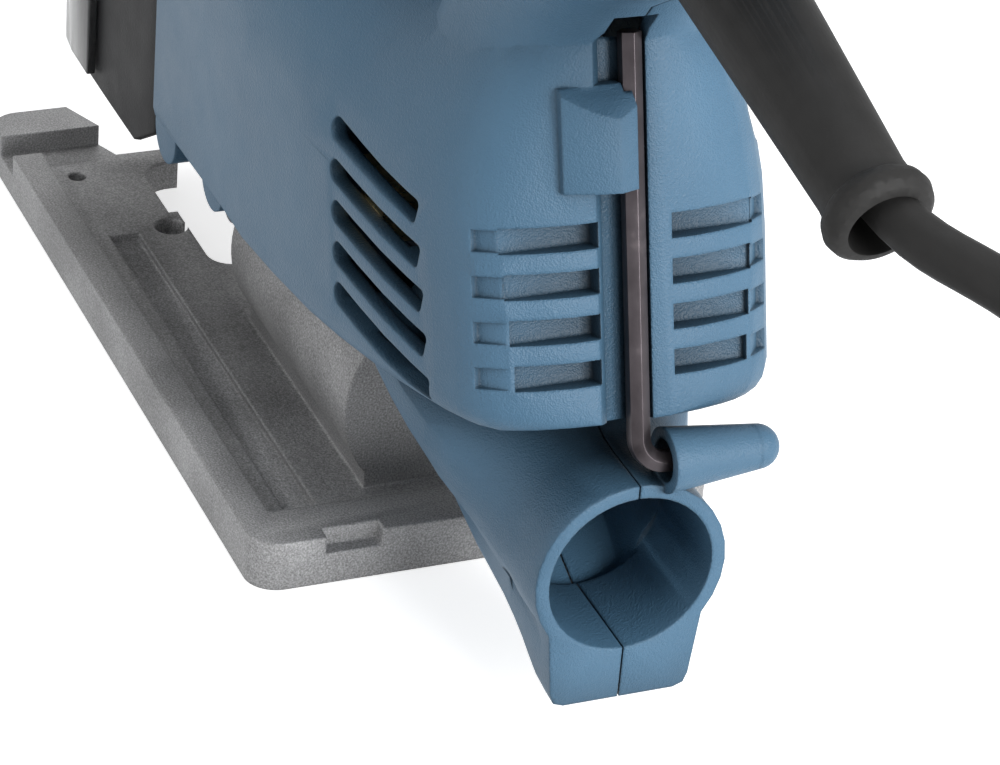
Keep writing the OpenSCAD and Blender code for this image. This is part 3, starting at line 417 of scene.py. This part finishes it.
def coil_points():
    """Points of the coil, clockwise from its +X side, a quarter turn in."""
    points = []
    for step in range(TURN_STEPS // 4, int(WINDING[-1][0] * TURN_STEPS)):
        radius, height = winding_at(step / TURN_STEPS)
        angle = pi / 2 - 2 * pi * step / TURN_STEPS
        x = COIL_CENTRE.x + radius * cos(angle)
        y = COIL_CENTRE.y + radius * sin(angle)
        points.append(Vector((x, y, height)))
    return points


def rise_to_plug(start_height, entry):
    """Last quarter turn, which climbs from the coil into the plug's cord end."""
    points = []
    for step in range(RISE_STEPS):
        angle = pi - pi / 2 * step / (RISE_STEPS - 1)
        share = (step + 1) / RISE_STEPS
        rise = share * share * (3 - 2 * share)
        height = start_height + (entry.z - start_height) * rise
        x = entry.x + RISE_BEND * cos(angle)
        y = entry.y - RISE_BEND + RISE_BEND * sin(angle)
        points.append(Vector((x, y, height)))
    return points


hanging = [Vector((x / 1000 - TOOL_MIDDLE, y / 1000, z / 1000)) for x, y, z in HANGING]
turns = coil_points()
plug_entry = Vector((plug_low.x, (plug_low.y + plug_high.y) / 2, (plug_low.z + plug_high.z) / 2))
rise = rise_to_plug(turns[-1].z, plug_entry)
cord_points = hanging + turns + rise + [plug_entry + Vector((PLUG_DEPTH, 0, 0))]
print("cord points:", len(cord_points), "turns of the coil:", WINDING[-1][0])

# %% Cord: the curve itself


def cord_curve(points):
    """One open spline through the points, round in section."""
    curve = bpy.data.curves.new("mains_cord", "CURVE")
    curve.dimensions = "3D"
    curve.bevel_depth = CORD_D / 2
    curve.bevel_resolution = 5
    curve.resolution_u = 5
    curve.use_fill_caps = True
    spline = curve.splines.new("NURBS")
    spline.points.add(len(points) - 1)
    for target, point in zip(spline.points, points):
        target.co = (*point, 1)
    spline.order_u = 4
    spline.use_endpoint_u = True
    piece = bpy.data.objects.new("mains_cord", curve)
    bpy.context.scene.collection.objects.link(piece)
    curve.materials.append(CORD_RUBBER)
    return piece


def line_length(piece):
    """Length of the curve's own line."""
    curve = piece.data.copy()
    curve.bevel_depth = 0
    curve.use_fill_caps = False
    bare = bpy.data.objects.new("bare_line", curve)
    line = bare.to_mesh()
    places = [corner.co for corner in line.vertices]
    length = sum((places[a] - places[b]).length for a, b in (piece.vertices for piece in line.edges))
    bare.to_mesh_clear()
    bpy.data.objects.remove(bare)
    bpy.data.curves.remove(curve)
    return length


mains_cord = cord_curve(cord_points)
CORD_LENGTH = line_length(mains_cord)
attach(mains_cord, "body")
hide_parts("power_cord", "cord_coil")
print("cord length:", round(CORD_LENGTH, 3), "m")

# %% [markdown]
# Moulded pieces with soft edges
#
# The solids have the right shape but loose triangles and knife edges. A real moulding or casting has a
# small round on every edge, and that round is what catches the light. The quickest way to get it is to
# dress a copy: the copy's doubles are merged, its flat facets are joined to whole faces, a Bevel modifier
# rounds the edges that turn by more than a set angle, and the rest is shaded smooth. The two halves of
# the housing also draw their middle faces back a little, so that the seam shows as a fine dark line. The
# solid itself stays for the physics.

# %% Helper: dress a copy of a solid
DOUBLES = 0.00001
ON_MIDDLE = 0.00002
FLAT_WITHIN = 1.0
EDGE_SEGMENTS = 2


def dressed(node, body, material, edge, sharp, joint):
    """Copy of a solid with rounded edges; a joint other than 0 is the new y of its middle face."""
    mesh = frame["nodes"][node].data.copy()
    mesh.name = node + "_skin"
    piece = bpy.data.objects.new(node + "_skin", mesh)
    bpy.context.scene.collection.objects.link(piece)
    for corner in mesh.vertices:
        if joint and abs(corner.co.y) < ON_MIDDLE:
            corner.co.y = joint
    only(piece)
    bpy.ops.object.mode_set(mode="EDIT")
    bpy.ops.mesh.select_all(action="SELECT")
    bpy.ops.mesh.remove_doubles(threshold=DOUBLES)
    bpy.ops.mesh.dissolve_limited(angle_limit=radians(FLAT_WITHIN))
    bpy.ops.object.mode_set(mode="OBJECT")
    bevel = piece.modifiers.new("edge", "BEVEL")
    bevel.width = edge
    bevel.segments = EDGE_SEGMENTS
    bevel.limit_method = "ANGLE"
    bevel.angle_limit = radians(sharp)
    bpy.ops.object.modifier_apply(modifier="edge")
    bpy.ops.object.shade_smooth_by_angle(angle=radians(sharp))
    piece.data.materials.clear()
    piece.data.materials.append(material)
    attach(piece, body)
    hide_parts(node)
    return piece


BODIES = frame["record"]["behaviour"]["bodies"]
BODY_OF = {name: body for body, names in BODIES.items() for name in names}

# %% Dress the pieces that show
SKINS = {
    "housing_left": (BLUE_NYLON, 0.0005, 34),
    "housing_right": (BLUE_NYLON, 0.0005, 34),
    "nose_cover": (GRAINED_BLACK, 0.0005, 30),
    "base": (BASE_CASTING, 0.0005, 30),
    "gear_housing": (CASE_CASTING, 0.0005, 30),
    "cord_guard": (CORD_RUBBER, 0.0003, 30),
    "trigger": (SMOOTH_BLACK, 0.0006, 30),
    "lock_on_button": (SMOOTH_BLACK, 0.0004, 30),
    "hex_key": (DARK_OXIDE, 0.0001, 40),
    "power_plug": (CORD_RUBBER, 0.0006, 30),
    "dust_cover": (CLEAR_PLASTIC, 0.0003, 30),
}
HALF_SEAM = 0.00014
JOINT_GAPS = {"housing_left": -HALF_SEAM, "housing_right": HALF_SEAM}
skins = {}
for name, (material, edge, sharp) in SKINS.items():
    gap = JOINT_GAPS.get(name, 0.0)
    skins[name] = dressed(name, BODY_OF[name], material, edge, sharp, gap)
    print(name, "faces:", len(skins[name].data.polygons))

# %% [markdown]
# The drive inside
#
# Gears, shafts, bearings and the motor keep their solids, which are turned and cut parts with true edges.
# They only need their metals, and smooth shading on their round faces comes with the solid.

# %% Finishes of the parts that keep their solids
FINISHES = {
    "housing_screws": DARK_OXIDE, "plunger_bushes": BRONZE, "gear_shaft": GROUND_STEEL,
    "tilt_bolt": DARK_OXIDE, "clamp_plate": GROUND_STEEL, "roller_fork": GROUND_STEEL,
    "fork_pin": GROUND_STEEL, "roller": GROUND_STEEL, "plunger": GROUND_STEEL,
    "blade_holder": DARK_OXIDE, "blade_bolts": DARK_OXIDE, "crank_gear": GROUND_STEEL,
    "armature_shaft": GROUND_STEEL, "armature_core": COPPER, "commutator": COPPER,
    "fan": SMOOTH_BLACK, "front_bearing": GROUND_STEEL, "rear_bearing": GROUND_STEEL,
    "stator": LAMINATIONS, "fan_baffle": SMOOTH_BLACK, "brush_holders": BRASS,
    "carbon_brushes": GRAPHITE, "switch_module": SMOOTH_BLACK, "cord_clamp": SMOOTH_BLACK,
    "plug_pins": BRASS,
}
for name, material in FINISHES.items():
    node = frame["nodes"][name]
    node.data.materials.clear()
    node.data.materials.append(material)
print("finished solids:", len(FINISHES))

# %% [markdown]
# Floor, backdrop and light
#
# The saw stands on a seamless white sheet. Its white comes from a glow that only the camera and
# reflections see, so that it never adds light to the saw, and the floor is left dull so that it still
# takes the shadow.

# %% Floor and world
FLOOR_GLOW = 0.72
ROOM_COLOUR = (0.86, 0.9, 0.96, 1)
ROOM_STRENGTH = 0.22


def white_floor():
    board = Board("floor_sheet", 0.9)
    board.colour(board.ramp(board.noise(3, 2), [(0.3, (0.8, 0.8, 0.8)), (0.7, (0.82, 0.82, 0.82))]))
    board.glow(FLOOR_GLOW)
    return board.material


bpy.ops.object.select_all(action="DESELECT")
bpy.ops.mesh.primitive_plane_add(size=6, location=(0, 0, -0.0002))
floor = bpy.context.active_object
floor.name = "floor"
floor.data.materials.append(white_floor())

world = bpy.data.worlds.new("room")
bpy.context.scene.world = world
world.use_nodes = True
sky = world.node_tree
sky.nodes.clear()
path = sky.nodes.new("ShaderNodeLightPath")
lit = sky.nodes.new("ShaderNodeBackground")
lit.inputs["Color"].default_value = ROOM_COLOUR
lit.inputs["Strength"].default_value = ROOM_STRENGTH
seen = sky.nodes.new("ShaderNodeBackground")
seen.inputs["Color"].default_value = (1, 1, 1, 1)
seen.inputs["Strength"].default_value = 1.0
straight = sky.nodes.new("ShaderNodeMath")
straight.operation = "MAXIMUM"
either = sky.nodes.new("ShaderNodeMath")
either.operation = "MAXIMUM"
mix = sky.nodes.new("ShaderNodeMixShader")
out = sky.nodes.new("ShaderNodeOutputWorld")
sky.links.new(path.outputs["Is Camera Ray"], straight.inputs[0])
sky.links.new(path.outputs["Is Transmission Ray"], straight.inputs[1])
sky.links.new(straight.outputs["Value"], either.inputs[0])
sky.links.new(path.outputs["Is Glossy Ray"], either.inputs[1])
sky.links.new(either.outputs["Value"], mix.inputs["Fac"])
sky.links.new(lit.outputs["Background"], mix.inputs[1])
sky.links.new(seen.outputs["Background"], mix.inputs[2])
sky.links.new(mix.outputs["Shader"], out.inputs["Surface"])
print("floor and world ready")

# %% Lamps


def soft_lamp(name, place, aim, size, power):
    """Square soft box at a place, turned to face its aim."""
    light = bpy.data.lights.new(name, "AREA")
    light.shape = "SQUARE"
    light.size = size
    light.energy = power
    lamp = bpy.data.objects.new(name, light)
    bpy.context.scene.collection.objects.link(lamp)
    lamp.location = place
    lamp.rotation_euler = (Vector(aim) - Vector(place)).to_track_quat("-Z", "Y").to_euler()
    return lamp


soft_lamp("key_lamp", (1.0, 0.25, 0.42), (0.04, 0, 0.05), 0.5, 15.5)
soft_lamp("fill_lamp", (0.1, -0.9, 0.5), (0.02, 0, 0.06), 0.8, 2.2)
soft_lamp("top_lamp", (-0.3, 0.1, 1.2), (0.0, 0, 0.1), 0.8, 5.0)
bpy.context.scene.view_settings.view_transform = "Standard"
print("lamps:", len(bpy.data.lights))
